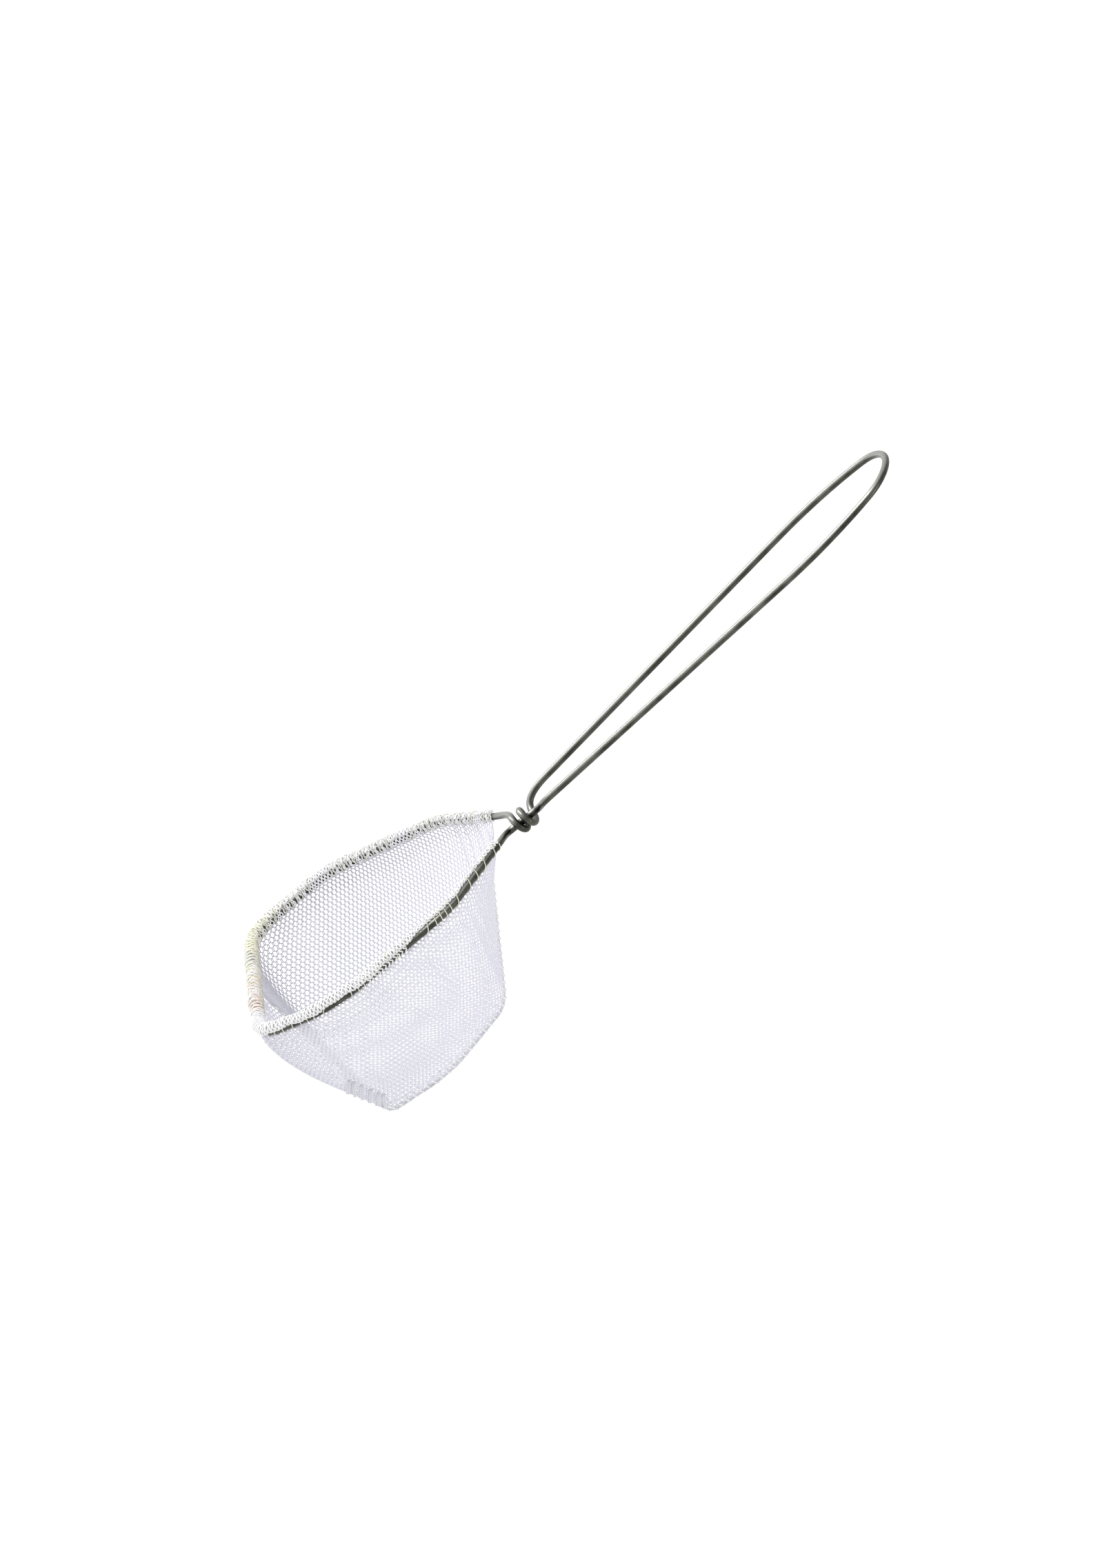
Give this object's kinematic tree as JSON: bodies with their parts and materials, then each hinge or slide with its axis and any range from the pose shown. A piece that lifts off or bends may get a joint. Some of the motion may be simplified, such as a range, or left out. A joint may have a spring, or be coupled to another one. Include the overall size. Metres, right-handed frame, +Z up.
{
  "type": "landing net",
  "caption": "Small one-hand landing net: a bent wire handle loop and hoop with a wrapped neck, carrying a sewn bag of fine white mesh that hangs open below the rim.",
  "frame": {"origin": "middle of the hand's grip on the handle loop, on the handle's axis", "axes": "+Z up as the net is held and the bag hangs, +X level from the hoop toward the handle's tip, +Y level across the net toward the holder's right"},
  "size_m": [0.2121, 0.0934, 0.2394],
  "materials": {
    "wire": "bright drawn galvanised wire",
    "hem_net": "white net folded and stitched",
    "bag_net": "fine white knitted mesh",
    "seam_thread": "overlocked white thread"
  },
  "bodies": {
    "root": {"handle_loop": "wire", "neck_core": "wire", "neck_wrap": "wire", "hoop": "wire", "rim_hem": "hem_net", "left_panel": "bag_net", "right_panel": "bag_net", "bag_seam": "seam_thread"}
  },
  "joints": []
}
